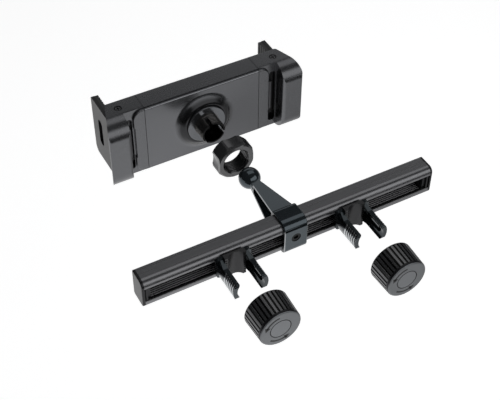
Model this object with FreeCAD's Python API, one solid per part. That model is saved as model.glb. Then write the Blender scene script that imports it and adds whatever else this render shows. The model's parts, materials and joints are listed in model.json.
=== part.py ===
"""Headrest tablet mount: slotted rail, two post clamps, ball arm and sliding-jaw tablet holder.

Axes: X runs along the rail, Y points from the clamps to the tablet holder, Z is up.
The origin is the middle of the rail. The knobs, the nut and the holder are drawn off along Y,
by the named distances below, and each is modelled in its drawn-off place.
"""
import FreeCAD
import Part
import math
import os

V = FreeCAD.Vector
ORIGIN = V(0, 0, 0)
ALONG_Y = V(0, 1, 0)
SIDES = ("left", "right")

# Fits, and how far a cutting tool runs past a piece
FIT_GAP = 0.03
RUNNING_GAP = 0.05
SLIDE_GAP = 0.06
SLACK = 0.15
PAST = 60.0
OVERLAP = 0.5

# Rail: a slotted channel with ribs on its floor and plugged ends
RAIL_LENGTH = 240.0
RAIL_DEPTH = 15.8
RAIL_HEIGHT = 24.2
RAIL_WALL = 2.0
RAIL_CORNER = 2.5
RAIL_BACK_CORNER = 1.5
RAIL_BROW = 5.0
UPPER_LIP = 6.7
LOWER_LIP = 5.1
LIP_EDGE = 0.6
CHANNEL_CORNER = 0.8
FLOOR_RIBS = 6
FLOOR_RIB_PITCH = 1.75
FLOOR_RIB_WIDTH = 0.8
FLOOR_RIB_HEIGHT = 0.6
CAP_THICKNESS = 2.0
CAP_EDGE = 0.8
PLUG_LENGTH = 5.0
KEY_LENGTH = 2.4
KEY_GROOVE_WIDTH = 1.1
KEY_GROOVE_DEPTH = 1.2

# Ball arm: saddle round the rail, tapering beam and ball
BALL_RADIUS = 8.5
BALL_REACH = 59.35
SADDLE_WIDTH = 19.0
SADDLE_WALL = 2.4
SADDLE_EDGE = 0.8
NECK_RADIUS = 3.9
NECK_LENGTH = 6.85
BEAM_TIP_HALF_WIDTH = 3.0
BEAM_TIP_HALF_HEIGHT = 3.8
BEAM_ROOT_HALF_HEIGHT = 11.6
BEAM_SINK = 2.0
FLANGE_THICKNESS = 1.8
WEB_HALF_THICKNESS = 1.5
BEAM_POCKET_ROOT = 1.5
BEAM_POCKET_TIP = 6.0
LOCK_HEAD_RADIUS = 3.8
LOCK_HEAD_DEPTH = 1.8
LOCK_HEAD_SINK = 0.4
LOCK_SHANK_RADIUS = 2.0
LOCK_SHANK_END_Y = 1.5
LOCK_DRIVE_RADIUS = 2.0
LOCK_DRIVE_DEPTH = 1.4
SLOT_NUT_HALF_LENGTH = 7.0
SLOT_NUT_THICKNESS = 3.14

# Post clamps: two threaded prongs and a ribbed seat, on a foot that slides in the rail
CLAMP_X = {"left": -51.0, "right": 47.0}
POST_RADIUS = 7.0
POST_GAP = 0.05
POST_AXIS_Y = -17.5
PRONG_OUTER_RADIUS = 13.7
PRONG_INNER_RADIUS = 10.6
PRONG_TIP_Y = -36.0
PRONG_HALF_HEIGHT = 6.5
PRONG_ROOT_HALF_HEIGHT = 8.6
PRONG_FLARE = 7.0
PRONG_TIP_CORNER = 1.5
PRONG_POCKET_DEPTH = 1.2
PRONG_POCKET_HALF_HEIGHT = 3.3
PRONG_POCKET_RIB = 0.7
PRONG_POCKET_TIP = 3.0
THREAD_PITCH = 2.2
THREAD_TURNS = 6
THREAD_DEPTH = 0.9
THREAD_START = 1.4
CLAMP_PLATE_THICKNESS = 2.85
CLAMP_PLATE_HALF_HEIGHT = 8.8
CLAMP_PLATE_CORNER = 2.5
FOOT_HALF_WIDTH = 9.0
FOOT_HEIGHT_GAP = 0.15
SEAT_HALF_WIDTH = 8.3
SEAT_HALF_HEIGHT = 11.0
SEAT_BACK_Y = -9.3
SEAT_LIP_Y = -13.7
SEAT_RIBS = 9
SEAT_RIB_PITCH = 2.2
SEAT_GROOVE = 0.8
SEAT_RIB_WIDTH = 1.7

# Clamp knobs, drawn off along Y
KNOB_DRAW_OFF = {"left": 28.8, "right": 33.3}
KNOB_BACK_RADIUS = 16.6
KNOB_FRONT_RADIUS = 15.9
KNOB_DEPTH = 20.8
KNOB_RIM_EDGE = 0.9
KNOB_BORE_RADIUS = PRONG_OUTER_RADIUS + 0.07
KNOB_CUP_DEPTH = 16.4
KNOB_RIBS = 32
KNOB_GROOVE_DEPTH = 0.65
KNOB_GROOVE_HALF_WIDTH = 0.65
KNOB_GROOVE_FLOOR = 0.3
KNOB_GROOVE_START = 1.0
KNOB_DISC_THICKNESS = 2.2
KNOB_DISC_EDGE = 1.3
DISC_SPIGOT_RADIUS = 12.6
DISC_SPIGOT_DEPTH = 0.8
DISC_RING_RADIUS = 7.9
DISC_RING_HALF_WIDTH = 0.2
DISC_RING_DEPTH = 0.25
HUB_RADIUS = 7.0
HUB_SETBACK = 1.7
SPIGOT_RADIUS = 4.0
SPIGOT_DEPTH = 15.0
SPIGOT_END_GAP = 0.6
PAD_RADIUS = 8.0
PAD_PROUD = 2.5
PAD_BACK = 1.6
PAD_EDGE = 0.8

# Socket: slit collet, seat cup and locking nut, measured along Y from the ball's seated centre
HOLDER_DRAW_OFF = 63.9
SOCKET_Y = BALL_REACH + HOLDER_DRAW_OFF
BALL_GAP = 0.06
COLLET_RADIUS = 10.2
COLLET_TIP = -5.5
COLLET_EDGE = 0.5
COLLET_THREAD_TURNS = 6
COLLET_THREAD_PITCH = 1.7
COLLET_THREAD_DEPTH = 0.35
COLLET_THROAT_RADIUS = 7.2
FLANGE_FACE = 6.5
FLANGE_RADIUS = 16.5
FLANGE_RIM_RADIUS = 19.0
FLANGE_RIM_FRONT = 11.05
FLANGE_RIM_BACK = 13.5
COLLET_SLITS = 3
SLIT_WIDTH = 3.0
SLIT_ROOT = 4.6
SLIT_INNER_RADIUS = 2.0
SLIT_FIRST_ANGLE = 105.0
SEAT_CUP_GAP = 0.07
SEAT_CUP_THICKNESS = 1.42
SEAT_CUP_HALF_ANGLE = 25.0
NUT_DRAW_OFF = 36.6
NUT_SEATED_FRONT = -6.9
NUT_LENGTH = 13.0
NUT_CORNER_RADIUS = 16.4
NUT_BORE_GAP = 0.07
NUT_CORNER_EDGE = 0.6
NUT_FRONT_BEVEL = 1.7
NUT_BACK_BEVEL = 1.1
NUT_WIDE_HALF_ANGLE = 28.0
NUT_SCOOP_RADIUS = 18.0
NUT_SCOOP_DEPTH = 0.9
NUT_SCOOP_START = 3.0
NUT_LEAD_IN = 1.2

# Holder: central housing, back cover with a flared boss, and two sliding jaws
HOUSING_HALF_WIDTH = 50.0
HOLDER_HALF_HEIGHT = 32.2
HOLDER_WALL = 2.2
RIM_BACK = 14.0
HOLDER_DEPTH = 17.5
HOLDER_FRONT = RIM_BACK + HOLDER_DEPTH
HOLDER_EDGE = 2.0
COVER_FACE = 12.0
COVER_SHORTFALL = 1.2
COVER_HALF_HEIGHT = HOLDER_HALF_HEIGHT - COVER_SHORTFALL
COVER_INNER = 14.5
COVER_EDGE = 1.2
COVER_LIP = 1.6
COVER_LIP_DEPTH = 2.0
COVER_LIP_END = 4.0
BOSS_FACE = 8.0
BOSS_TOP_RADIUS = 22.3
BOSS_FOOT_RADIUS = 24.6
BOSS_SPREAD = 29.0
BOSS_BROW = 2.2
BOSS_FLARE = 3.6
BOSS_INNER_EDGE = 0.4
RETAINER_RADIUS = 24.0
RETAINER_THICKNESS = 1.8
RETAINER_HUB_RADIUS = 4.0
REST_PAD_THICKNESS = 1.2
REST_PAD_MARGIN_X = 7.0
REST_PAD_MARGIN_Z = 6.2
REST_PAD_CORNER = 5.0
REST_PAD_GROOVES = 9
REST_PAD_GROOVE_DEPTH = 0.5
REST_PAD_GROOVE_WIDTH = 1.4

# Jaws: each has a strip level with the cover, a recess and a grip
SEAM_GAP = 0.15
STRIP_WIDTH = 10.0
STRIP_EDGE_X = HOUSING_HALF_WIDTH + STRIP_WIDTH
STRIP_CORNER = 8.0
RECESS_WIDTH = 7.0
GRIP_INNER_X = STRIP_EDGE_X + RECESS_WIDTH
GRIP_WIDTH = 18.4
GRIP_OUTER_X = GRIP_INNER_X + GRIP_WIDTH
GRIP_FACE = 1.0
GRIP_CORNER_RADIUS = 14.5
GRIP_END_CORNER = 1.5
GRIP_SIDE_CORNER = 2.5
GRIP_FRONT_CORNER = 5.0
END_SLANT = 0.348
JAW_FLOOR = 2.0
WINDOW_TOP = 24.0
WINDOW_BOTTOM = 27.0
WINDOW_CORNER = 2.4
WINDOW_MARGIN = 0.5
NOTCH_HALF_HEIGHT = 15.0
NOTCH_DEPTH = 1.2
HOOK_INSET = 7.5
JAW_HOOK_OUTER_X = GRIP_OUTER_X - HOOK_INSET
JAW_HOOK_THICKNESS = 2.9
JAW_HOOK_LENGTH = 21.6
JAW_HOOK_REACH = HOLDER_FRONT + JAW_HOOK_LENGTH
HOOK_TOP_DROP = 7.2
HOOK_BOTTOM_RISE = 2.2
HOOK_LOWER_CORNER = 6.0
HOOK_UPPER_CORNER = 1.2
HOOK_SLOT_SETBACK = 6.3
HOOK_SLOT_Y = HOLDER_FRONT + HOOK_SLOT_SETBACK
HOOK_SLOT_Z = -1.0
HOOK_SLOT_HALF_LENGTH = 12.7
HOOK_SLOT_HALF_WIDTH = 3.8
JAW_PAD_THICKNESS = 3.1
JAW_PAD_MARGIN = 0.3
JAW_PAD_GROOVES = 6
JAW_PAD_GROOVE_PITCH = 3.0
JAW_PAD_GROOVE_FIRST = 3.4
JAW_PAD_GROOVE_RADIUS = 0.6
LUG_HALF_HEIGHT = 22.0
LUG_BACK = 22.0
LUG_FRONT = 28.0
BLOCK_BACK = 17.5
BLOCK_WIDTH = 10.5
PILLAR_RADIUS = 3.3
SCREW_INSET = 0.9
SCREW_X = GRIP_INNER_X + SCREW_INSET
SCREW_Y = 21.6
SCREW_HEAD_RADIUS = 2.9
SCREW_HEAD_DEPTH = 1.5
SCREW_HEAD_SINK = 0.3
SCREW_HEAD_GAP = 0.2
SCREW_SHANK_RADIUS = 1.3
SCREW_LENGTH = 9.0
CROSS_HALF_LENGTH = 1.8
CROSS_HALF_WIDTH = 0.45
CROSS_DEPTH = 0.9

# Rack and pinion that keeps the jaws level
GEAR_MODULE = 0.75
PINION_TEETH = 16
PITCH_RADIUS = GEAR_MODULE * PINION_TEETH / 2
ADDENDUM = 0.85 * GEAR_MODULE
DEDENDUM = 1.25 * GEAR_MODULE
RACK_PITCH = math.pi * GEAR_MODULE
PINION_TOOTH = (0.83 * GEAR_MODULE, 0.73 * GEAR_MODULE, 0.35 * GEAR_MODULE)
RACK_TOOTH = (1.0 * GEAR_MODULE, 0.69 * GEAR_MODULE, 0.35 * GEAR_MODULE)
GEAR_SIDE_GAP = 0.1
RACK_SETBACK = 6.5
RACK_BACK = COVER_INNER + RACK_SETBACK
RACK_DEPTH = 5.0
RACK_FRONT = RACK_BACK + RACK_DEPTH
RACK_OUTER_Z = 21.0
RACK_END_GAP = 6.0
RACK_END_X = RACK_END_GAP - HOUSING_HALF_WIDTH
AXLE_RADIUS = 2.5
AXLE_START = 18.0
AXLE_SHOULDER_RADIUS = 4.0
SHELF_THICKNESS = 1.6
SHELF_END_GAP = 2.0
SHELF_OVERHANG = 1.0
RUNNER_INNER_Z = 10.0
RUNNER_OUTER_Z = 18.0
SLIDE_HEAD_THICKNESS = 2.5
SLIDE_HEAD_BACK = 17.0
SLIDE_HEAD_FRONT_GAP = 0.8
GUIDE_RADIUS = 1.7
GUIDE_HALF_LENGTH = 14.0
GUIDE_Y = 15.8

# Sizes worked out from the ones above
RAIL_FRONT_Y = -RAIL_DEPTH / 2
SLOT_TOP = RAIL_HEIGHT / 2 - UPPER_LIP
SLOT_BOTTOM = LOWER_LIP - RAIL_HEIGHT / 2
CHANNEL_HALF_Y = RAIL_DEPTH / 2 - RAIL_WALL
CHANNEL_HALF_Z = RAIL_HEIGHT / 2 - RAIL_WALL
CHANNEL_FLOOR = FLOOR_RIB_HEIGHT - CHANNEL_HALF_Z
JAW_START_X = HOUSING_HALF_WIDTH + SEAM_GAP
INNER_FRONT = HOLDER_FRONT - HOLDER_WALL
INNER_Z = HOLDER_HALF_HEIGHT - HOLDER_WALL


def box(x0, x1, y0, y1, z0, z1):
    """Block between two corners."""
    return Part.makeBox(x1 - x0, y1 - y0, z1 - z0, V(x0, y0, z0))


def rod(radius, start, end):
    """Round bar between two points."""
    run = end - start
    return Part.makeCylinder(radius, run.Length, start, run)


def loop_face(points, radii, place):
    """Flat face from corner points, each corner rounded by its own radius."""
    count = len(points)
    ends = []
    arcs = []
    for i in range(count):
        here = V(*points[i], 0)
        back = (V(*points[i - 1], 0) - here).normalize()
        ahead = (V(*points[(i + 1) % count], 0) - here).normalize()
        radius = radii[i]
        if radius <= 0:
            ends.append((here, here))
            arcs.append(None)
            continue
        half = back.getAngle(ahead) / 2
        reach = radius / math.tan(half)
        centre = here + (back + ahead).normalize() * (radius / math.sin(half))
        middle = centre + (here - centre).normalize() * radius
        ends.append((here + back * reach, here + ahead * reach))
        arcs.append(middle)
    edges = []
    for i in range(count):
        if arcs[i] is not None:
            arc = Part.Arc(place(ends[i][0]), place(arcs[i]), place(ends[i][1]))
            edges.append(arc.toShape())
        start = ends[i][1]
        end = ends[(i + 1) % count][0]
        if (end - start).Length > 1e-6:
            edges.append(Part.makeLine(place(start), place(end)))
    return Part.Face(Part.Wire(Part.__sortEdges__(edges)))


def slab_x(points, radii, x0, x1):
    """Outline in Y and Z, drawn out along X."""
    face = loop_face(points, radii, lambda p: V(x0, p.x, p.y))
    return face.extrude(V(x1 - x0, 0, 0))


def slab_y(points, radii, y0, y1):
    """Outline in X and Z, drawn out along Y."""
    face = loop_face(points, radii, lambda p: V(p.x, y0, p.y))
    return face.extrude(V(0, y1 - y0, 0))


def slab_z(points, radii, z0, z1):
    """Outline in X and Y, drawn out along Z."""
    face = loop_face(points, radii, lambda p: V(p.x, p.y, z0))
    return face.extrude(V(0, 0, z1 - z0))


def turned(points, radii=None):
    """Outline of radius and Y, turned about the Y axis."""
    if radii is None:
        radii = [0] * len(points)
    face = loop_face(points, radii, lambda p: V(p.x, p.y, 0))
    return face.revolve(ORIGIN, ALONG_Y, 360)


def groove_ring(radius, depth, middle, pitch, outwards=True):
    """Tool that cuts one round of thread at a distance Y, into a rod or into a bore."""
    mouth = 0.4 * pitch
    floor = 0.15 * pitch
    sign = 1 if outwards else -1
    past = radius + sign * depth / 2
    bottom = radius - sign * depth
    return turned([(past, middle - mouth), (past, middle + mouth),
                   (bottom, middle + floor), (bottom, middle - floor)])


def rectangle(u0, u1, v0, v1):
    """Four corners, in order."""
    return [(u0, v0), (u1, v0), (u1, v1), (u0, v1)]


def join(first, *others):
    """One solid from several that touch or overlap."""
    return first.fuse(list(others)).removeSplitter()


def soften(shape, radius, chosen):
    """Round the edges whose middle point passes the test."""
    edges = [e for e in shape.Edges if chosen(e.valueAt((e.FirstParameter + e.LastParameter) / 2))]
    return shape.makeFillet(radius, edges)


def move(shape, x=0, y=0, z=0):
    """Copy of a shape, shifted."""
    copy = shape.copy()
    copy.translate(V(x, y, z))
    return copy


def mirrored(shape):
    """Copy of a shape on the other side of the plane X = 0."""
    return shape.mirror(ORIGIN, V(1, 0, 0))


def turn_y(shape, degrees):
    """Copy of a shape, turned about the Y axis."""
    copy = shape.copy()
    copy.rotate(ORIGIN, ALONG_Y, degrees)
    return copy


# Rail and end caps

def rail_outline(grow, x0, x1):
    """Solid with the rail's outer section, grown all round."""
    half_y = RAIL_DEPTH / 2 + grow
    half_z = RAIL_HEIGHT / 2 + grow
    corners = [(-half_y, -half_z), (half_y, -half_z), (half_y, half_z), (-half_y, half_z)]
    radii = [RAIL_CORNER, RAIL_CORNER, RAIL_BACK_CORNER, RAIL_BROW]
    return slab_x(corners, [r + grow for r in radii], x0, x1)


def make_rail():
    half = RAIL_LENGTH / 2 - CAP_THICKNESS
    body = rail_outline(0, -half, half)
    channel = slab_x(rectangle(-CHANNEL_HALF_Y, CHANNEL_HALF_Y, -CHANNEL_HALF_Z, CHANNEL_HALF_Z),
                     [CHANNEL_CORNER] * 4, -half, half)
    slot = box(-half, half, RAIL_FRONT_Y - OVERLAP, CHANNEL_CORNER - CHANNEL_HALF_Y,
               SLOT_BOTTOM, SLOT_TOP)
    body = body.cut([channel, slot])

    def on_lip(p):
        at_mouth = min(abs(p.z - SLOT_TOP), abs(p.z - SLOT_BOTTOM)) < 1e-3
        return at_mouth and abs(p.y - RAIL_FRONT_Y) < 1e-3

    body = soften(body, LIP_EDGE, on_lip)
    ribs = []
    for i in range(FLOOR_RIBS):
        middle = (i - (FLOOR_RIBS - 1) / 2) * FLOOR_RIB_PITCH
        ribs.append(box(-half, half, middle - FLOOR_RIB_WIDTH / 2, middle + FLOOR_RIB_WIDTH / 2,
                        -CHANNEL_HALF_Z - OVERLAP, CHANNEL_FLOOR))
    return join(body, *ribs)


def make_end_cap():
    """Right-hand end cap: cover plate and a plug that closes the channel and the slot."""
    outer = RAIL_LENGTH / 2
    seam = outer - CAP_THICKNESS
    plate = soften(rail_outline(0, seam, outer), CAP_EDGE, lambda p: p.x > outer - 1e-3)
    reach = CHANNEL_HALF_Y - FIT_GAP
    plug = slab_x(rectangle(-reach, reach, CHANNEL_FLOOR + FIT_GAP, CHANNEL_HALF_Z - FIT_GAP),
                  [CHANNEL_CORNER] * 4, seam - PLUG_LENGTH, seam + OVERLAP)
    key_face = RAIL_FRONT_Y + LIP_EDGE
    key = box(seam - KEY_LENGTH, seam + OVERLAP, key_face, 0,
              SLOT_BOTTOM + FIT_GAP, SLOT_TOP - FIT_GAP)
    groove = box(seam - KEY_GROOVE_WIDTH, seam, key_face - OVERLAP, key_face + KEY_GROOVE_DEPTH,
                 SLOT_BOTTOM, SLOT_TOP)
    return join(plate, plug, key).cut(groove)


# Ball arm

def make_ball_arm():
    half = SADDLE_WIDTH / 2
    saddle = soften(rail_outline(SADDLE_WALL, -half, half), SADDLE_EDGE,
                    lambda p: abs(p.x) > half - 1e-3)
    back = RAIL_DEPTH / 2 + SADDLE_WALL
    root_y = back - BEAM_SINK
    tip_y = BALL_REACH - NECK_LENGTH
    root_half = half - SADDLE_EDGE
    plan = slab_z([(-root_half, root_y), (root_half, root_y), (BEAM_TIP_HALF_WIDTH, tip_y),
                   (-BEAM_TIP_HALF_WIDTH, tip_y)], [0] * 4, -PAST, PAST)

    def side(inset):
        """Side view of the beam, thinner by the inset on top and underneath."""
        root = BEAM_ROOT_HALF_HEIGHT - inset
        tip = BEAM_TIP_HALF_HEIGHT - inset
        return slab_x([(root_y, -root), (tip_y, -tip), (tip_y, tip), (root_y, root)],
                      [0] * 4, -PAST, PAST)

    beam = plan.common(side(0))
    web = WEB_HALF_THICKNESS
    pocket = side(FLANGE_THICKNESS).cut([
        box(-web, web, -PAST, PAST, -PAST, PAST),
        box(-PAST, PAST, -PAST, back + BEAM_POCKET_ROOT, -PAST, PAST),
        box(-PAST, PAST, tip_y - BEAM_POCKET_TIP, 2 * PAST, -PAST, PAST)])
    beam = beam.cut(pocket)
    neck = rod(NECK_RADIUS, V(0, tip_y - NECK_RADIUS, 0), V(0, BALL_REACH, 0))
    ball = Part.makeSphere(BALL_RADIUS, V(0, BALL_REACH, 0))
    arm = join(saddle, beam, neck, ball)
    passage = rail_outline(SLIDE_GAP, -PAST, PAST)
    face = -back
    counterbore = rod(LOCK_HEAD_RADIUS + FIT_GAP, V(0, face - OVERLAP, 0),
                      V(0, face + LOCK_HEAD_DEPTH, 0))
    through = rod(LOCK_SHANK_RADIUS + RUNNING_GAP, V(0, face, 0), ORIGIN)
    return arm.cut([passage, counterbore, through])


def make_arm_screw():
    face = RAIL_FRONT_Y - SADDLE_WALL
    bearing = face + LOCK_HEAD_DEPTH
    head = rod(LOCK_HEAD_RADIUS, V(0, face + LOCK_HEAD_SINK, 0), V(0, bearing, 0))
    shank = rod(LOCK_SHANK_RADIUS, V(0, bearing - OVERLAP, 0), V(0, LOCK_SHANK_END_Y, 0))
    corners = []
    for i in range(6):
        angle = math.pi * i / 3
        corners.append((LOCK_DRIVE_RADIUS * math.cos(angle), LOCK_DRIVE_RADIUS * math.sin(angle)))
    drive = slab_y(corners, [0] * 6, face, face + LOCK_DRIVE_DEPTH)
    return join(head, shank).cut(drive)


def make_arm_slot_nut():
    back = SLIDE_GAP - CHANNEL_HALF_Y
    plate = slab_x(rectangle(back, back + SLOT_NUT_THICKNESS, CHANNEL_FLOOR + FOOT_HEIGHT_GAP,
                             CHANNEL_HALF_Z - CHANNEL_CORNER),
                   [0] * 4, -SLOT_NUT_HALF_LENGTH, SLOT_NUT_HALF_LENGTH)
    return plate.cut(rod(LOCK_SHANK_RADIUS + FIT_GAP, V(0, -PAST, 0), ORIGIN))


# Post clamps, modelled with the post in the plane X = 0

def make_claw_fork():
    slot_reach = RAIL_FRONT_Y - 2 * SLACK
    plate_front = slot_reach - CLAMP_PLATE_THICKNESS
    half_x = PRONG_OUTER_RADIUS
    plate = slab_y(rectangle(-half_x, half_x, -CLAMP_PLATE_HALF_HEIGHT, CLAMP_PLATE_HALF_HEIGHT),
                   [CLAMP_PLATE_CORNER] * 4, plate_front, slot_reach)
    neck = box(-FOOT_HALF_WIDTH, FOOT_HALF_WIDTH, slot_reach - OVERLAP,
               CHANNEL_CORNER - CHANNEL_HALF_Y, SLOT_BOTTOM + FOOT_HEIGHT_GAP,
               SLOT_TOP - FOOT_HEIGHT_GAP)
    foot = slab_x(rectangle(SLIDE_GAP - CHANNEL_HALF_Y, CHANNEL_HALF_Y - 2 * SLACK,
                            CHANNEL_FLOOR + FOOT_HEIGHT_GAP, CHANNEL_HALF_Z - FOOT_HEIGHT_GAP),
                  [CHANNEL_CORNER] * 4, -FOOT_HALF_WIDTH, FOOT_HALF_WIDTH)
    root = PRONG_ROOT_HALF_HEIGHT
    tall = PRONG_HALF_HEIGHT
    root_y = plate_front + OVERLAP
    flare_y = plate_front - PRONG_FLARE
    corner = PRONG_TIP_CORNER
    side_view = slab_x([(root_y, -root), (root_y, root), (flare_y, tall), (PRONG_TIP_Y, tall),
                        (PRONG_TIP_Y, -tall), (flare_y, -tall)],
                       [0, 0, 0, corner, corner, 0], -PAST, PAST)
    ring = turned([(PRONG_INNER_RADIUS, 0), (PRONG_OUTER_RADIUS, 0),
                   (PRONG_OUTER_RADIUS, -PAST), (PRONG_INNER_RADIUS, -PAST)])
    between = SEAT_HALF_WIDTH + SLACK
    cheeks = ring.common(side_view).cut(box(-between, between, -PAST, 0, -PAST, PAST))
    body = join(plate, neck, foot, *cheeks.Solids)
    tools = []
    for turn in range(THREAD_TURNS):
        middle = PRONG_TIP_Y + THREAD_START + turn * THREAD_PITCH
        tools.append(groove_ring(PRONG_OUTER_RADIUS, THREAD_DEPTH, middle, THREAD_PITCH))
    floor = PRONG_INNER_RADIUS + PRONG_POCKET_DEPTH
    high = PRONG_POCKET_HALF_HEIGHT
    pocket_ends = (PRONG_TIP_Y + PRONG_POCKET_TIP, plate_front - PRONG_POCKET_TIP)
    pocket = slab_x(rectangle(pocket_ends[0], pocket_ends[1], -high, high),
                    [high - FIT_GAP, 0, 0, high - FIT_GAP], SEAT_HALF_WIDTH, floor)
    rib = box(floor - PRONG_POCKET_RIB, floor + OVERLAP, pocket_ends[0] + high, pocket_ends[1],
              -PRONG_POCKET_RIB, PRONG_POCKET_RIB)
    pocket = pocket.cut(rib)
    tools += [pocket, mirrored(pocket)]
    across = SEAT_HALF_WIDTH + FIT_GAP
    tools.append(box(-across, across, -PAST, SEAT_BACK_Y, -PAST, PAST))
    return body.cut(tools)


def make_post_seat():
    """Seat with a round hollow for the post, between two ribbed lips."""
    half = SEAT_HALF_WIDTH
    block = box(-half, half, SEAT_LIP_Y, SEAT_BACK_Y, -SEAT_HALF_HEIGHT, SEAT_HALF_HEIGHT)
    tools = [rod(POST_RADIUS + POST_GAP, V(0, POST_AXIS_Y, -PAST), V(0, POST_AXIS_Y, PAST))]
    for i in range(SEAT_RIBS):
        middle = (i - (SEAT_RIBS - 1) / 2) * SEAT_RIB_PITCH
        low = middle - SEAT_GROOVE / 2
        high = middle + SEAT_GROOVE / 2
        lip_floor = SEAT_LIP_Y + SEAT_GROOVE
        tools.append(box(half - SEAT_RIB_WIDTH, half + OVERLAP, SEAT_LIP_Y - OVERLAP, lip_floor,
                         low, high))
        tools.append(box(-half - OVERLAP, SEAT_RIB_WIDTH - half, SEAT_LIP_Y - OVERLAP, lip_floor,
                         low, high))
    return block.cut(tools)


# Knobs, modelled about the Y axis with the rim in the plane Y = 0

KNOB_FACE = KNOB_DISC_THICKNESS - KNOB_DEPTH


def make_knob():
    socket = SPIGOT_RADIUS + RUNNING_GAP
    socket_end = -SPIGOT_DEPTH - SPIGOT_END_GAP
    shell = turned([(0, KNOB_FACE), (KNOB_FRONT_RADIUS, KNOB_FACE), (KNOB_BACK_RADIUS, 0),
                    (KNOB_BORE_RADIUS, 0), (KNOB_BORE_RADIUS, -KNOB_CUP_DEPTH),
                    (HUB_RADIUS, -KNOB_CUP_DEPTH), (HUB_RADIUS, -HUB_SETBACK),
                    (socket, -HUB_SETBACK), (socket, socket_end), (0, socket_end)],
                   [0, 0, KNOB_RIM_EDGE] + [0] * 7)
    taper = (KNOB_BACK_RADIUS - KNOB_FRONT_RADIUS) / -KNOB_FACE
    start = KNOB_BACK_RADIUS - taper * KNOB_GROOVE_START
    floor = start - KNOB_GROOVE_DEPTH
    past = start + KNOB_GROOVE_DEPTH
    wide = 2 * KNOB_GROOVE_HALF_WIDTH
    outline = loop_face([(floor, -KNOB_GROOVE_FLOOR), (past, -wide), (past, wide),
                         (floor, KNOB_GROOVE_FLOOR)], [0] * 4,
                        lambda p: V(p.x, -KNOB_GROOVE_START, p.y))
    length = KNOB_FACE + KNOB_GROOVE_START - OVERLAP
    groove = outline.extrude(V(taper * length, length, 0))
    tools = [turn_y(groove, i * 360 / KNOB_RIBS) for i in range(KNOB_RIBS)]
    tools.append(rod(DISC_SPIGOT_RADIUS + FIT_GAP, V(0, KNOB_FACE - OVERLAP, 0),
                     V(0, KNOB_FACE + DISC_SPIGOT_DEPTH, 0)))
    return shell.cut(tools)


def make_knob_disc():
    edge = KNOB_FRONT_RADIUS - RUNNING_GAP
    disc = turned([(0, -KNOB_DEPTH), (edge, -KNOB_DEPTH), (edge, KNOB_FACE),
                   (DISC_SPIGOT_RADIUS, KNOB_FACE),
                   (DISC_SPIGOT_RADIUS, KNOB_FACE + DISC_SPIGOT_DEPTH),
                   (0, KNOB_FACE + DISC_SPIGOT_DEPTH)], [0, KNOB_DISC_EDGE, 0, 0, 0, 0])
    inner = DISC_RING_RADIUS - DISC_RING_HALF_WIDTH
    outer = DISC_RING_RADIUS + DISC_RING_HALF_WIDTH
    ring = turned(rectangle(inner, outer, -KNOB_DEPTH - OVERLAP, DISC_RING_DEPTH - KNOB_DEPTH))
    return disc.cut(ring)


def make_knob_pad():
    return turned([(0, PAD_PROUD), (PAD_RADIUS, PAD_PROUD), (PAD_RADIUS, -PAD_BACK),
                   (SPIGOT_RADIUS, -PAD_BACK), (SPIGOT_RADIUS, -SPIGOT_DEPTH),
                   (0, -SPIGOT_DEPTH)], [0, PAD_EDGE, 0, 0, PAD_EDGE, 0])


# Socket parts, modelled about the Y axis with the ball's centre at Y = 0

SEAT_CUP_OUTER_RADIUS = BALL_RADIUS + BALL_GAP + SEAT_CUP_THICKNESS
SEAT_CUP_POCKET_RADIUS = SEAT_CUP_OUTER_RADIUS + SEAT_CUP_GAP


def make_socket_collet():
    outer = turned([(0, COLLET_TIP), (COLLET_RADIUS, COLLET_TIP), (COLLET_RADIUS, FLANGE_FACE),
                    (FLANGE_RADIUS, FLANGE_FACE), (FLANGE_RADIUS, FLANGE_RIM_FRONT),
                    (FLANGE_RIM_RADIUS, FLANGE_RIM_FRONT), (FLANGE_RIM_RADIUS, FLANGE_RIM_BACK),
                    (0, FLANGE_RIM_BACK)], [0, COLLET_EDGE, 0, COLLET_EDGE, 0, 0, 0, 0])
    bore = BALL_RADIUS + BALL_GAP
    throat = COLLET_THROAT_RADIUS
    throat_end = math.sqrt(SEAT_CUP_POCKET_RADIUS ** 2 - throat ** 2) - OVERLAP / 2
    pocket = Part.makeSphere(SEAT_CUP_POCKET_RADIUS).common(
        box(-PAST, PAST, throat_end, PAST, -PAST, PAST))
    cavity = join(rod(bore, V(0, COLLET_TIP - OVERLAP, 0), ORIGIN), Part.makeSphere(bore),
                  rod(throat, ORIGIN, V(0, throat_end + FIT_GAP, 0)), pocket)
    tools = [cavity]
    for i in range(COLLET_SLITS):
        slit = box(SLIT_INNER_RADIUS, COLLET_RADIUS + OVERLAP, COLLET_TIP - OVERLAP, SLIT_ROOT,
                   -SLIT_WIDTH / 2, SLIT_WIDTH / 2)
        tools.append(turn_y(slit, -(SLIT_FIRST_ANGLE + i * 360 / COLLET_SLITS)))
    for turn in range(COLLET_THREAD_TURNS):
        middle = COLLET_TIP + COLLET_EDGE + (turn + 0.5) * COLLET_THREAD_PITCH
        tools.append(groove_ring(COLLET_RADIUS, COLLET_THREAD_DEPTH, middle,
                                 COLLET_THREAD_PITCH))
    return outer.cut(tools)


def make_ball_seat():
    shell = Part.makeSphere(SEAT_CUP_OUTER_RADIUS).cut(Part.makeSphere(BALL_RADIUS + BALL_GAP))
    reach = 2 * BALL_RADIUS
    width = reach * math.tan(math.radians(SEAT_CUP_HALF_ANGLE))
    cone = Part.makeCone(0, width, reach, ORIGIN, ALONG_Y)
    return shell.common(cone)


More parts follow.
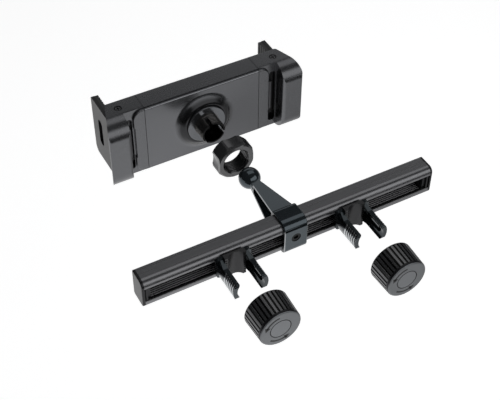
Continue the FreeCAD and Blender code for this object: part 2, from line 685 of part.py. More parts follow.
def make_locking_nut():
    """Nut with four broad scooped flats and four narrow ones, its front end at Y = 0."""
    wide = NUT_WIDE_HALF_ANGLE
    corner = NUT_CORNER_RADIUS
    points = []
    for quarter in range(4):
        for edge in (-wide, wide):
            angle = math.radians(quarter * 90 + edge)
            points.append((corner * math.cos(angle), corner * math.sin(angle)))
    body = slab_y(points, [NUT_CORNER_EDGE] * 8, 0, NUT_LENGTH)
    barrel = turned([(0, 0), (corner - NUT_FRONT_BEVEL, 0), (corner, NUT_FRONT_BEVEL),
                     (corner, NUT_LENGTH - NUT_BACK_BEVEL),
                     (corner - NUT_BACK_BEVEL, NUT_LENGTH), (0, NUT_LENGTH)])
    body = body.common(barrel)
    bore = COLLET_RADIUS + NUT_BORE_GAP
    tools = [rod(bore, V(0, -OVERLAP, 0), V(0, NUT_LENGTH + OVERLAP, 0)),
             Part.makeCone(bore + NUT_LEAD_IN, bore, NUT_LEAD_IN, V(0, -FIT_GAP, 0), ALONG_Y)]
    flat = corner * math.cos(math.radians(wide))
    centre = flat - NUT_SCOOP_DEPTH + NUT_SCOOP_RADIUS
    scoop = rod(NUT_SCOOP_RADIUS, V(centre, NUT_SCOOP_START, 0),
                V(centre, NUT_LENGTH + OVERLAP, 0))
    for quarter in range(4):
        tools.append(turn_y(scoop, quarter * 90))
    turns = int((NUT_LENGTH - 2 * NUT_LEAD_IN) / COLLET_THREAD_PITCH)
    for turn in range(turns):
        middle = NUT_LEAD_IN + (turn + 1) * COLLET_THREAD_PITCH
        tools.append(groove_ring(bore, COLLET_THREAD_DEPTH, middle, COLLET_THREAD_PITCH,
                                 outwards=False))
    return body.cut(tools)


# Holder parts, modelled about the Y axis with the socket's centre at Y = 0

def make_housing_front():
    half = HOUSING_HALF_WIDTH
    body = slab_x(rectangle(RIM_BACK, HOLDER_FRONT, -HOLDER_HALF_HEIGHT, HOLDER_HALF_HEIGHT),
                  [0, HOLDER_EDGE, HOLDER_EDGE, 0], -half, half)
    hollow = box(-PAST, PAST, -PAST, INNER_FRONT, -INNER_Z, INNER_Z)
    body = body.cut(hollow)
    end = half - SHELF_END_GAP
    wall = INNER_FRONT + OVERLAP
    back = RACK_BACK - SHELF_OVERHANG
    shelf = RACK_OUTER_Z + GEAR_SIDE_GAP
    runner_face = RACK_FRONT + GEAR_SIDE_GAP
    guides = [box(-end, end, back, wall, shelf, shelf + SHELF_THICKNESS),
              box(-end, end, back, wall, -shelf - SHELF_THICKNESS, -shelf),
              box(-end, end, runner_face, wall, RUNNER_INNER_Z, RUNNER_OUTER_Z),
              box(-end, end, runner_face, wall, -RUNNER_OUTER_Z, -RUNNER_INNER_Z)]
    shoulder = rod(AXLE_SHOULDER_RADIUS, V(0, runner_face, 0), V(0, wall, 0))
    axle = rod(AXLE_RADIUS, V(0, AXLE_START, 0), V(0, wall, 0))
    return join(body, *guides, shoulder, axle)


def make_back_cover():
    half = HOUSING_HALF_WIDTH
    plate = slab_x(rectangle(COVER_FACE, COVER_INNER, -COVER_HALF_HEIGHT, COVER_HALF_HEIGHT),
                   [COVER_EDGE, 0, 0, COVER_EDGE], -half, half)
    step = INNER_Z - FIT_GAP
    plate = plate.cut([box(-PAST, PAST, RIM_BACK, PAST, step, PAST),
                       box(-PAST, PAST, RIM_BACK, PAST, -PAST, -step)])
    end = half - COVER_LIP_END
    lips = []
    for low, high in ((step - COVER_LIP, step), (-step, COVER_LIP - step)):
        lips.append(box(-end, end, COVER_INNER - OVERLAP, COVER_INNER + COVER_LIP_DEPTH,
                        low, high))
    hole = FLANGE_RADIUS + RUNNING_GAP
    rim = FLANGE_RIM_RADIUS + GEAR_SIDE_GAP
    ledge = FLANGE_RIM_FRONT - RUNNING_GAP
    boss = turned([(hole, BOSS_FACE), (BOSS_TOP_RADIUS, BOSS_FACE),
                   (BOSS_FOOT_RADIUS, COVER_FACE), (BOSS_SPREAD, COVER_FACE),
                   (BOSS_SPREAD, COVER_INNER), (rim, COVER_INNER), (rim, ledge), (hole, ledge)],
                  [BOSS_INNER_EDGE, BOSS_BROW, BOSS_FLARE, 0, 0, 0, 0, 0])
    opening = rod(rim, ORIGIN, V(0, PAST, 0))
    return join(plate.cut(opening), boss, *lips)


def make_collet_retainer():
    front = FLANGE_RIM_BACK + GEAR_SIDE_GAP
    plate_end = COVER_INNER + RETAINER_THICKNESS
    disc = turned([(0, front), (FLANGE_RIM_RADIUS, front), (FLANGE_RIM_RADIUS, COVER_INNER),
                   (RETAINER_RADIUS, COVER_INNER), (RETAINER_RADIUS, plate_end),
                   (RETAINER_HUB_RADIUS, plate_end),
                   (RETAINER_HUB_RADIUS, RACK_BACK - GEAR_SIDE_GAP),
                   (0, RACK_BACK - GEAR_SIDE_GAP)])
    return disc.cut(rod(AXLE_RADIUS + FIT_GAP, V(0, AXLE_START - OVERLAP, 0), V(0, PAST, 0)))


def make_rest_pad():
    half_x = HOUSING_HALF_WIDTH - REST_PAD_MARGIN_X
    half_z = HOLDER_HALF_HEIGHT - REST_PAD_MARGIN_Z
    face = HOLDER_FRONT + REST_PAD_THICKNESS
    pad = slab_y(rectangle(-half_x, half_x, -half_z, half_z), [REST_PAD_CORNER] * 4,
                 HOLDER_FRONT, face)
    pitch = 2 * half_x / (REST_PAD_GROOVES + 1)
    half_groove = REST_PAD_GROOVE_WIDTH / 2
    groove_end = half_z - REST_PAD_CORNER
    grooves = []
    for i in range(REST_PAD_GROOVES):
        middle = (i + 1) * pitch - half_x
        grooves.append(box(middle - half_groove, middle + half_groove,
                           face - REST_PAD_GROOVE_DEPTH, face + OVERLAP, -groove_end, groove_end))
    return pad.cut(grooves)


def tooth_outline(middle, halves, root, pitch, tip):
    """One gear tooth: half its width at the root, at the pitch line and at the tip."""
    at_root, at_pitch, at_tip = halves
    return [(middle - at_root, root), (middle + at_root, root), (middle + at_pitch, pitch),
            (middle + at_tip, tip), (middle - at_tip, tip), (middle - at_pitch, pitch)]


def make_pinion():
    root = PITCH_RADIUS - DEDENDUM
    back = RACK_BACK + GEAR_SIDE_GAP
    front = RACK_FRONT - GEAR_SIDE_GAP
    outline = tooth_outline(0, PINION_TOOTH, root - OVERLAP, PITCH_RADIUS, PITCH_RADIUS + ADDENDUM)
    tooth = slab_y(outline, [0] * 6, back, front)
    teeth = [turn_y(tooth, i * 360 / PINION_TEETH) for i in range(PINION_TEETH)]
    gear = join(rod(root, V(0, back, 0), V(0, front, 0)), *teeth)
    return gear.cut(rod(AXLE_RADIUS + RUNNING_GAP, ORIGIN, V(0, PAST, 0)))


def end_x(y):
    """Outer face of the right jaw's slanted end, at a distance Y from the socket's centre."""
    return GRIP_OUTER_X - END_SLANT * (y - GRIP_FACE)


def jaw_outline():
    """Right jaw with no hollow inside it."""
    plan = [(JAW_START_X, HOLDER_FRONT), (end_x(HOLDER_FRONT), HOLDER_FRONT),
            (GRIP_OUTER_X, GRIP_FACE), (GRIP_INNER_X, GRIP_FACE), (GRIP_INNER_X, RIM_BACK),
            (JAW_START_X, RIM_BACK)]
    top = HOLDER_HALF_HEIGHT
    high = slab_z(plan, [0, GRIP_FRONT_CORNER, GRIP_END_CORNER, GRIP_SIDE_CORNER, 0, 0],
                  -top, top)
    section = slab_x(rectangle(GRIP_FACE, HOLDER_FRONT, -top, top),
                     [GRIP_CORNER_RADIUS, HOLDER_EDGE, HOLDER_EDGE, GRIP_CORNER_RADIUS],
                     0, 2 * GRIP_OUTER_X)
    return high.common(section)


def jaw_hollow():
    """Hollow of the right jaw, open towards the housing."""
    wall = HOLDER_WALL
    grip_inner = GRIP_FACE + wall
    floor = RIM_BACK + JAW_FLOOR
    inside = JAW_START_X - OVERLAP
    plan = [(inside, INNER_FRONT), (end_x(INNER_FRONT) - wall, INNER_FRONT),
            (end_x(grip_inner) - wall, grip_inner), (GRIP_INNER_X + wall, grip_inner),
            (GRIP_INNER_X + wall, floor), (inside, floor)]
    high = slab_z(plan, [0, GRIP_FRONT_CORNER - wall, 0, 0, 0, 0], -INNER_Z, INNER_Z)
    rounding = GRIP_CORNER_RADIUS - wall
    section = slab_x(rectangle(grip_inner, INNER_FRONT, -INNER_Z, INNER_Z),
                     [rounding, 0, 0, rounding], 0, 2 * GRIP_OUTER_X)
    return high.common(section)


def make_jaw_shell():
    strip = slab_y(rectangle(JAW_START_X, STRIP_EDGE_X, -COVER_HALF_HEIGHT, COVER_HALF_HEIGHT),
                   [0, STRIP_CORNER, STRIP_CORNER, 0], COVER_FACE, RIM_BACK)
    strip = soften(strip, COVER_EDGE,
                   lambda p: p.y < COVER_FACE + 1e-3 and p.x > JAW_START_X + 1e-3)
    shell = join(jaw_outline(), strip)
    floor = RIM_BACK + JAW_FLOOR
    window = slab_y(rectangle(STRIP_EDGE_X + WINDOW_MARGIN, GRIP_INNER_X - WINDOW_MARGIN,
                              -WINDOW_BOTTOM, WINDOW_TOP),
                    [WINDOW_CORNER] * 4, RIM_BACK - OVERLAP, floor + OVERLAP)
    notch = box(STRIP_EDGE_X - NOTCH_DEPTH, STRIP_EDGE_X + OVERLAP, 0, RIM_BACK,
                -NOTCH_HALF_HEIGHT, NOTCH_HALF_HEIGHT)
    lug_way = box(GRIP_INNER_X, 2 * GRIP_OUTER_X, LUG_BACK - FIT_GAP, LUG_FRONT + FIT_GAP,
                  -LUG_HALF_HEIGHT - FIT_GAP, LUG_HALF_HEIGHT + FIT_GAP)
    tools = [jaw_hollow(), window, notch, lug_way]
    top = HOLDER_HALF_HEIGHT
    for sign in (-1, 1):
        outside = V(SCREW_X, SCREW_Y, sign * (top + OVERLAP))
        seat = V(SCREW_X, SCREW_Y, sign * (top - SCREW_HEAD_DEPTH))
        inside = V(SCREW_X, SCREW_Y, sign * (INNER_Z - OVERLAP))
        tools.append(rod(SCREW_HEAD_RADIUS + SCREW_HEAD_GAP, seat, outside))
        tools.append(rod(SCREW_SHANK_RADIUS + FIT_GAP, inside, outside))
    return shell.cut(tools)


def hook_outline(y_start, margin, x0, x1):
    """The hook's plate, or the rubber on it, from a distance Y to the hook's end."""
    top = HOLDER_HALF_HEIGHT - HOOK_TOP_DROP - margin
    bottom = HOOK_BOTTOM_RISE - HOLDER_HALF_HEIGHT + margin
    return slab_x(rectangle(y_start, JAW_HOOK_REACH, bottom, top),
                  [0, HOOK_LOWER_CORNER, HOOK_UPPER_CORNER, 0], x0, x1)


def make_jaw_hook():
    inner_x = JAW_HOOK_OUTER_X - JAW_HOOK_THICKNESS
    plate = hook_outline(RIM_BACK, 0, inner_x, JAW_HOOK_OUTER_X).cut(jaw_outline())
    block_x = STRIP_EDGE_X + SLIDE_HEAD_THICKNESS
    block_end = block_x + BLOCK_WIDTH
    high = LUG_HALF_HEIGHT
    lug = box(block_end - OVERLAP, JAW_HOOK_OUTER_X, LUG_BACK, LUG_FRONT, -high, high)
    block = box(block_x, block_end, BLOCK_BACK, LUG_FRONT, -high, high)
    pillar = rod(PILLAR_RADIUS, V(SCREW_X, SCREW_Y, -INNER_Z), V(SCREW_X, SCREW_Y, INNER_Z))
    slot = slab_x(rectangle(HOOK_SLOT_Y - HOOK_SLOT_HALF_WIDTH, HOOK_SLOT_Y + HOOK_SLOT_HALF_WIDTH,
                            HOOK_SLOT_Z - HOOK_SLOT_HALF_LENGTH,
                            HOOK_SLOT_Z + HOOK_SLOT_HALF_LENGTH),
                  [HOOK_SLOT_HALF_WIDTH - FIT_GAP] * 4, inner_x - OVERLAP,
                  JAW_HOOK_OUTER_X + OVERLAP)
    screw_hole = rod(SCREW_SHANK_RADIUS + FIT_GAP, V(SCREW_X, SCREW_Y, -PAST),
                     V(SCREW_X, SCREW_Y, PAST))
    return join(plate, lug, block, pillar).cut([slot, screw_hole])


def make_jaw_pad():
    outer_x = JAW_HOOK_OUTER_X - JAW_HOOK_THICKNESS
    inner_x = outer_x - JAW_PAD_THICKNESS
    pad = hook_outline(HOLDER_FRONT + SLACK, JAW_PAD_MARGIN, inner_x, outer_x)
    grooves = []
    for step in range(JAW_PAD_GROOVES):
        y = HOLDER_FRONT + JAW_PAD_GROOVE_FIRST + step * JAW_PAD_GROOVE_PITCH
        grooves.append(rod(JAW_PAD_GROOVE_RADIUS, V(inner_x, y, -PAST), V(inner_x, y, PAST)))
    return pad.cut(grooves)


def make_jaw_screw():
    """Top screw of the right jaw, with a cross recess."""
    top = HOLDER_HALF_HEIGHT
    face = top - SCREW_HEAD_SINK
    head = rod(SCREW_HEAD_RADIUS, V(SCREW_X, SCREW_Y, top - SCREW_HEAD_DEPTH),
               V(SCREW_X, SCREW_Y, face))
    shank = rod(SCREW_SHANK_RADIUS, V(SCREW_X, SCREW_Y, top - SCREW_LENGTH),
                V(SCREW_X, SCREW_Y, top - SCREW_HEAD_DEPTH + OVERLAP))
    tools = []
    for half_x, half_y in ((CROSS_HALF_LENGTH, CROSS_HALF_WIDTH),
                           (CROSS_HALF_WIDTH, CROSS_HALF_LENGTH)):
        tools.append(box(SCREW_X - half_x, SCREW_X + half_x, SCREW_Y - half_y, SCREW_Y + half_y,
                         face - CROSS_DEPTH, top))
    return join(head, shank).cut(tools)


def make_jaw_slide():
    """Right jaw's rack, with the head that stands in the jaw and shows in its window."""
    root_z = -PITCH_RADIUS - DEDENDUM
    tip_z = ADDENDUM - PITCH_RADIUS
    head_end = STRIP_EDGE_X + SLIDE_HEAD_THICKNESS
    bar = box(RACK_END_X, STRIP_EDGE_X + OVERLAP, RACK_BACK, RACK_FRONT, -RACK_OUTER_Z, root_z)
    teeth = []
    count = int(-RACK_END_X / RACK_PITCH)
    for i in range(-count, 1):
        outline = tooth_outline((i + 0.5) * RACK_PITCH, RACK_TOOTH, root_z - OVERLAP,
                                -PITCH_RADIUS, tip_z)
        teeth.append(slab_y(outline, [0] * 6, RACK_BACK, RACK_FRONT))
    high = RACK_OUTER_Z
    head = box(STRIP_EDGE_X, head_end, SLIDE_HEAD_BACK, INNER_FRONT - SLIDE_HEAD_FRONT_GAP,
               -high, high)
    reach = GUIDE_HALF_LENGTH
    guide_x = head_end + FIT_GAP
    guide = rod(GUIDE_RADIUS, V(guide_x, GUIDE_Y, -reach), V(guide_x, GUIDE_Y, reach))
    bridge = box(head_end - GUIDE_RADIUS / 2, head_end, GUIDE_Y, SLIDE_HEAD_BACK + OVERLAP,
                 -reach, reach)
    return join(bar, *teeth, head, guide, bridge)


def clamp_pieces():
    """Both clamps and their drawn-off knobs."""
    pieces = {}
    fork = make_claw_fork()
    seat = make_post_seat()
    knob_parts = {"knob": make_knob(), "knob_disc": make_knob_disc(), "knob_pad": make_knob_pad()}
    pad_home = POST_AXIS_Y - POST_RADIUS - PAD_PROUD
    for side in SIDES:
        x = CLAMP_X[side]
        pieces["claw_fork_" + side] = move(fork, x)
        pieces["post_seat_" + side] = move(seat, x)
        for name, shape in knob_parts.items():
            pieces[name + "_" + side] = move(shape, x, pad_home - KNOB_DRAW_OFF[side])
    return pieces


def holder_pieces():
    """The tablet holder with its socket, in its drawn-off place."""
    holder = {"socket_collet": make_socket_collet(), "ball_seat": make_ball_seat(),
              "housing_front": make_housing_front(), "back_cover": make_back_cover(),
              "collet_retainer": make_collet_retainer(), "rest_pad": make_rest_pad(),
              "pinion": make_pinion()}
    jaw = {"jaw_shell": make_jaw_shell(), "jaw_hook": make_jaw_hook(), "jaw_pad": make_jaw_pad(),
           "jaw_screw_top": make_jaw_screw()}
    jaw["jaw_screw_bottom"] = mirrored(turn_y(jaw["jaw_screw_top"], 180))
    for name, shape in jaw.items():
        holder[name + "_right"] = shape
        holder[name + "_left"] = mirrored(shape)
    slide = make_jaw_slide()
    holder["jaw_slide_right"] = slide
    holder["jaw_slide_left"] = turn_y(slide, 180)
    return {name: move(shape, 0, SOCKET_Y) for name, shape in holder.items()}


def build():
    """Every piece in its place, by name."""
    cap = make_end_cap()
    nut_y = SOCKET_Y + NUT_SEATED_FRONT - NUT_DRAW_OFF
    pieces = {"rail": make_rail(), "end_cap_right": cap, "end_cap_left": mirrored(cap),
              "ball_arm": make_ball_arm(), "arm_screw": make_arm_screw(),
              "arm_slot_nut": make_arm_slot_nut(),
              "locking_nut": move(make_locking_nut(), 0, nut_y)}
    pieces.update(clamp_pieces())
    pieces.update(holder_pieces())
    return pieces


os.makedirs("parts", exist_ok=True)
for name, shape in sorted(build().items()):
    solids = shape.Solids
    single = solids[0] if len(solids) == 1 else shape
    print(name, "solids", len(solids), "valid", single.isValid(), "volume", round(single.Volume, 1))
    single.exportStep("parts/" + name + ".step")
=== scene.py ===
"""Looks of the headrest tablet mount: finishes, light, camera and the fine detail pieces.

Places and sizes are in metres, in the row frame: X along the rail, Y towards the holder, Z up.
What the patterns on the pieces follow is in millimetres, as on a drawing.
"""

import json
import math

import bpy
from mathutils import Matrix, Vector


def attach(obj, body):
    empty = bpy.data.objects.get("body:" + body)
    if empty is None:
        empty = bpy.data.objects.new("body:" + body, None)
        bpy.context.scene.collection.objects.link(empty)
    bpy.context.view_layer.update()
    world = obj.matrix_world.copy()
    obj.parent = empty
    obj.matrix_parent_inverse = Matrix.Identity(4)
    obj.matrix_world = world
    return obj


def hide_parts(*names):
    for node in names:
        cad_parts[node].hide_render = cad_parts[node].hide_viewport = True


# Camera, as the photograph was taken
CAMERA_PLACE = Vector((-0.2862, -0.4540, 0.5656))
CAMERA_RIGHT = Vector((0.87649, -0.48136, 0.00725))
CAMERA_UP = Vector((0.33631, 0.62301, 0.70623))
CAMERA_LENS = 77.64
CAMERA_SENSOR = 36.0
CAMERA_CLIP = (0.01, 100.0)

# Floor: its paint, how bright it is seen and mirrored, and where its mirrored brightness fades
FLOOR_LEVEL = -0.45
FLOOR_HALF_WIDTH = 8.0
FLOOR_COLOUR = 0.80
FLOOR_MOTTLE = 0.015
FLOOR_SEEN = 0.62
FLOOR_MIRRORED = 0.66
FLOOR_FADE_PLACE = (0.13, -0.46)
FLOOR_FADE_STEEPNESS = (5.0, 8.0)
FLOOR_FADE_DEPTH = 0.9

# Black card behind the camera: its lower and upper edge as (Y, Z)
CARD_NEAR = (-0.58, -0.44)
CARD_FAR = (-1.00, -0.17)
CARD_WIDTH = 5.0

# Softboxes by name, place, aim, width, height, brightness, and if gloss shows them
MIDDLE = (0.0, 0.05, 0.0)
SOFTBOXES = (
    ("box_front", (0.55, -1.35, 0.62), MIDDLE, 2.2, 1.1, 1.1, True),
    ("box_behind", (0.55, 1.35, 0.70), MIDDLE, 2.0, 0.60, 0.52, True),
    ("box_over", (0.60, 0.45, 1.5), (0.60, 0.45, 0.0), 1.9, 1.1, 0.66, True),
    ("box_matt", (0.0, -0.1, 1.8), MIDDLE, 2.4, 2.4, 1.0, False),
)
WORLD_COLOUR = (0.92, 0.96, 1.0)
WORLD_LEVEL = 0.05

# Depth of the moulded grain, in metres
GRAIN = 0.00005
FINE_GRAIN = 0.00004
DRAWN_GRAIN = 0.00003
RUBBER_GRAIN = 0.0001

# Rail: inside of the channel, darkened by painted shade, and the crests of the ribs on its floor,
# lightened by a painted highlight
CHANNEL_HALF_HEIGHT = 10.3
CHANNEL_HALF_DEPTH = 6.2
RIB_CREST_Z = -9.5
RIB_CREST_HEIGHT = 0.12

# Saddle of the ball arm, how far the painted highlight on the edges of its face reaches, and the
# painted shade on its flanks
SADDLE_HALF_WIDTH = 9.5
SADDLE_FRONT_Y = -10.3
SADDLE_BOTTOM = -14.5
SADDLE_HIGHLIGHT_WIDTH = 0.55
SADDLE_HIGHLIGHT_DEPTH = 0.75
SADDLE_SKIN = 0.05

# Claws: the span of the thread on the prongs, and the depths of its crests, which get a painted
# highlight, and of its roots, which get painted shade
PRONG_RADIUS = 13.7
PRONG_THREAD_Y = (-35.4, -21.6)
PRONG_CREST_DEPTH = 0.30
PRONG_ROOT_DEPTH = (0.45, 1.00)

# Knobs
CLAMP_X = {"left": -51.0, "right": 47.0}
KNOB_BACK_Y = {"left": -55.8, "right": -60.3}
KNOB_FACE_Y = {"left": -76.6, "right": -81.1}
KNOB_BACK_RADIUS = 16.6
KNOB_TAPER = 0.7 / 18.6
KNOB_RIDGE_DEPTH = 0.20
DISC_RADIUS = 15.85
DISC_SEAM = 0.35
DISC_RING_RADIUS = 7.9
DISC_RING_HALF_WIDTH = 0.36

# Turning arrows let into the knob faces: where each starts and how far it sweeps, in degrees
ARROWS = ((95.0, 62.0), (228.0, 66.0))
ARROW_RADIUS = 11.4
ARROW_STROKE = 1.35
ARROW_HEAD = 2.7
ARROW_INLAY = 0.20
ARROW_PROUD = 0.05
ARROW_ROUNDNESS = 120

# Collet and nut: crests of their threads, and how deep the roots start that are darkened by
# painted shade
COLLET_RADIUS = 10.2
COLLET_MARGIN = 0.5
COLLET_CREST_DEPTH = 0.16
NUT_BORE_RADIUS = 10.27
NUT_BORE_MARGIN = 0.50
NUT_CREST_DEPTH = 0.14

# Holder: seams beside the cover, darkened by painted shade, and the painted highlight along the
# lower front edge of the jaws
SEAM_X = 50.05
SEAM_HALF_WIDTH = 0.25
JAW_FACE_Y = 124.25
JAW_BOTTOM = -32.2
JAW_HIGHLIGHT_HEIGHT = 1.5
JAW_HIGHLIGHT_DEPTH = 1.2

# Cover: the painted highlight along its top edge, the dark line of painted shade below that, and
# the boss with its flare, darkened by painted shade
COVER_FACE_Y = 135.25
COVER_HALF_WIDTH = 50.0
COVER_TOP = 31.0
COVER_HIGHLIGHT = (0.75, 0.2)
COVER_SHADE = (1.1, 0.75)
BOSS_FACE_Y = 131.25
BOSS_HOLE_RADIUS = 16.7
BOSS_FLAT_RADIUS = 20.1
BOSS_SPREAD = 29.2
BOSS_DRAW_IN = 3.1
BOSS_MARGIN = 0.1
FLARE_RADIUS = 25.4
FLARE_FADE = 4.0
MERGE_DISTANCE = 0.000002
SMOOTH_ANGLE = 32.0

# Jaw screws
SCREW_X = 67.9
SCREW_Y = 144.85
SCREW_TOP = 31.9
SCREW_RIM = 2.1
SCREW_FACE_DEPTH = 0.25


class Field:
    """A socket's value, with the usual arithmetic."""

    def __init__(self, finish, socket):
        self.finish = finish
        self.socket = socket

    def maths(self, operation, first, second=None):
        values = {0: first}
        if second is not None:
            values[1] = second
        made = self.finish.node("ShaderNodeMath", {"operation": operation}, values)
        return Field(self.finish, made.outputs[0])

    def __add__(self, other):
        return self.maths("ADD", self, other)

    def __radd__(self, other):
        return self.maths("ADD", other, self)

    def __sub__(self, other):
        return self.maths("SUBTRACT", self, other)

    def __rsub__(self, other):
        return self.maths("SUBTRACT", other, self)

    def __mul__(self, other):
        return self.maths("MULTIPLY", self, other)

    def __rmul__(self, other):
        return self.maths("MULTIPLY", other, self)

    def __truediv__(self, other):
        return self.maths("DIVIDE", self, other)

    def above(self, level):
        return self.maths("GREATER_THAN", self, level)

    def below(self, level):
        return self.maths("LESS_THAN", self, level)

    def clamped(self):
        return self.maths("MINIMUM", self.maths("MAXIMUM", self, 0.0), 1.0)

    def root(self):
        return self.maths("SQRT", self)

    def size(self):
        return self.maths("ABSOLUTE", self)


class Finish:
    """One material and the nodes that it is built from."""

    def __init__(self, name):
        self.material = bpy.data.materials.new(name)
        self.material.use_nodes = True
        self.tree = self.material.node_tree
        self.shader = self.tree.nodes["Principled BSDF"]

    def node(self, kind, settings=None, values=None):
        made = self.tree.nodes.new(kind)
        for key, value in (settings or {}).items():
            setattr(made, key, value)
        for key, value in (values or {}).items():
            self.feed(made.inputs[key], value)
        return made

    def feed(self, socket, value):
        if isinstance(value, Field):
            self.tree.links.new(value.socket, socket)
        elif isinstance(value, bpy.types.NodeSocket):
            self.tree.links.new(value, socket)
        else:
            socket.default_value = value

    def place(self):
        """Place on the object, in metres: a vector and its three parts."""
        vector = self.node("ShaderNodeTexCoord").outputs["Object"]
        parts = self.node("ShaderNodeSeparateXYZ", None, {0: vector})
        return vector, [Field(self, out) for out in parts.outputs]

    def millimetres(self):
        return [part * 1000.0 for part in self.place()[1]]

    def knob_polar(self):
        """Distance from the axis of the nearer knob, and how far in front of the knob's back."""
        x, y, z = self.millimetres()
        right = x.above(0.0)
        axis_x = right * (CLAMP_X["right"] - CLAMP_X["left"]) + CLAMP_X["left"]
        back_y = right * (KNOB_BACK_Y["right"] - KNOB_BACK_Y["left"]) + KNOB_BACK_Y["left"]
        return reach(x - axis_x, z), back_y - y

    def noise(self, scale, detail, stretch=None):
        vector = self.place()[0]
        if stretch is not None:
            vector = self.node("ShaderNodeMapping", None,
                               {"Vector": vector, "Scale": stretch}).outputs[0]
        made = self.node("ShaderNodeTexNoise", None,
                         {"Vector": vector, "Scale": scale, "Detail": detail})
        return Field(self, made.outputs[0])

    def blend(self, factor, first, second):
        """Mix of two colours, each a plain colour or another mix."""
        made = self.node("ShaderNodeMix", {"data_type": "RGBA"})
        for key, value in (("Factor", factor), ("A", first), ("B", second)):
            sockets = [socket for socket in made.inputs if socket.name == key and socket.enabled]
            self.feed(sockets[0], (*value, 1.0) if isinstance(value, tuple) else value)
        return [socket for socket in made.outputs if socket.enabled][0]

    def bump(self, height, strength, distance):
        made = self.node("ShaderNodeBump", None,
                         {"Height": height, "Strength": strength, "Distance": distance})
        return made.outputs[0]

    def set(self, **values):
        for key, value in values.items():
            self.feed(self.shader.inputs[key.replace("_", " ").title()], value)


def reach(across, up):
    """Distance from an axis, from the two distances square to it."""
    return (across * across + up * up).root()


def tone(colour, factor):
    return tuple(part * factor for part in colour)


def grey(level):
    return (level, level, level)


def mottled(finish, colour, cloud, depth=0.12):
    return finish.blend(cloud, tone(colour, 1 - depth), tone(colour, 1 + depth))


def uneven(level, *parts):
    """Roughness that wanders round its level, by the spread given with each noise."""
    for noise, spread in parts:
        level = (noise - 0.5) * spread + level
    return level


def grained(name, grain_scale=2600.0, grain_detail=2.0, cloud_scale=35.0, cloud_detail=4.0):
    """A new finish, with its fine grain and its faint clouds."""
    finish = Finish(name)
    return (finish, finish.noise(grain_scale, grain_detail),
            finish.noise(cloud_scale, cloud_detail))


def moulded(name, colour, roughness, sheen, grain=0.2, grain_scale=2600.0):
    """Moulded plastic with a graphite sheen: fine grain, faint mottling and uneven gloss."""
    finish, speck, cloud = grained(name, grain_scale)
    finish.set(base_color=mottled(finish, colour, cloud), metallic=sheen,
               roughness=uneven(roughness, (cloud, 0.06), (speck, 0.08)),
               normal=finish.bump(speck, grain, GRAIN))
    return finish.material


def rail_plastic():
    """Satin extrusion with faint draw lines along X, painted shade inside the channel, and a
    painted highlight on the crests of its ribs.
    """
    colour = (0.205, 0.206, 0.214)
    finish = Finish("rail_plastic")
    lines = finish.noise(scale=1.0, detail=2.0, stretch=(6.0, 900.0, 900.0))
    speck = finish.noise(scale=2200.0, detail=2.0)
    x, y, z = finish.millimetres()
    deep = y.size().below(CHANNEL_HALF_DEPTH)
    # Painted shade: the inside of the channel is darkened.
    inside = deep * z.size().below(CHANNEL_HALF_HEIGHT)
    # Painted highlight: the rib crests are made pale and less metallic.
    crest = deep * (z - RIB_CREST_Z).size().below(RIB_CREST_HEIGHT)
    paint = finish.blend(inside, mottled(finish, colour, lines, 0.06), tone(colour, 0.25))
    finish.set(base_color=finish.blend(crest, paint, (0.50, 0.50, 0.52)),
               roughness=uneven(0.28, (lines, 0.06)), metallic=0.92 - crest * 0.9,
               normal=finish.bump(lines * 0.3 + speck * 0.7, 0.08, DRAWN_GRAIN))
    return finish.material


def gloss_black():
    """Blue-black gloss, with a painted highlight on the edges of the saddle's face and painted
    shade on its flanks.
    """
    colour = (0.062, 0.076, 0.086)
    finish, speck, cloud = grained("gloss_black", grain_scale=900.0)
    x, y, z = finish.millimetres()
    sides = x.size().above(SADDLE_HALF_WIDTH - SADDLE_HIGHLIGHT_WIDTH)
    foot = z.below(SADDLE_BOTTOM + SADDLE_HIGHLIGHT_WIDTH)
    # Painted highlight: a pale band along the side and bottom edges of the saddle's face.
    painted_edge_highlight = (sides + foot).clamped() * y.below(SADDLE_FRONT_Y + SADDLE_HIGHLIGHT_DEPTH)
    # Painted shade: the flanks of the saddle are darkened.
    shaded_flank = x.size().above(SADDLE_HALF_WIDTH - SADDLE_SKIN)
    paint = finish.blend(shaded_flank, mottled(finish, colour, cloud), tone(colour, 0.3))
    finish.set(base_color=finish.blend(painted_edge_highlight, paint, (0.36, 0.37, 0.38)), metallic=0.88,
               roughness=uneven(0.14, (cloud, 0.06), (speck, 0.04)),
               coat_weight=0.3, coat_roughness=0.08, normal=finish.bump(speck, 0.06, GRAIN))
    return finish.material


def claw_plastic():
    """Gloss black fork, with a painted highlight along the crests of its thread and painted shade
    in its roots.
    """
    finish, speck, cloud = grained("claw_plastic", grain_scale=900.0)
    radius, _ = finish.knob_polar()
    y = finish.millimetres()[1]
    shallow, deep = PRONG_ROOT_DEPTH
    tip, foot = PRONG_THREAD_Y
    thread = y.above(tip) * y.below(foot)
    # Painted highlight: the crests of the thread are made pale.
    crest = radius.above(PRONG_RADIUS - PRONG_CREST_DEPTH) * thread
    # Painted shade: the roots of the thread are darkened.
    root = radius.above(PRONG_RADIUS - deep) * radius.below(PRONG_RADIUS - shallow) * thread
    body = mottled(finish, (0.040, 0.048, 0.053), cloud)
    paint = finish.blend(root, body, (0.008, 0.010, 0.011))
    finish.set(base_color=finish.blend(crest, paint, (0.50, 0.515, 0.53)), metallic=0.88,
               roughness=uneven(0.17, (cloud, 0.06)), coat_weight=0.3, coat_roughness=0.08,
               normal=finish.bump(speck, 0.06, GRAIN))
    return finish.material


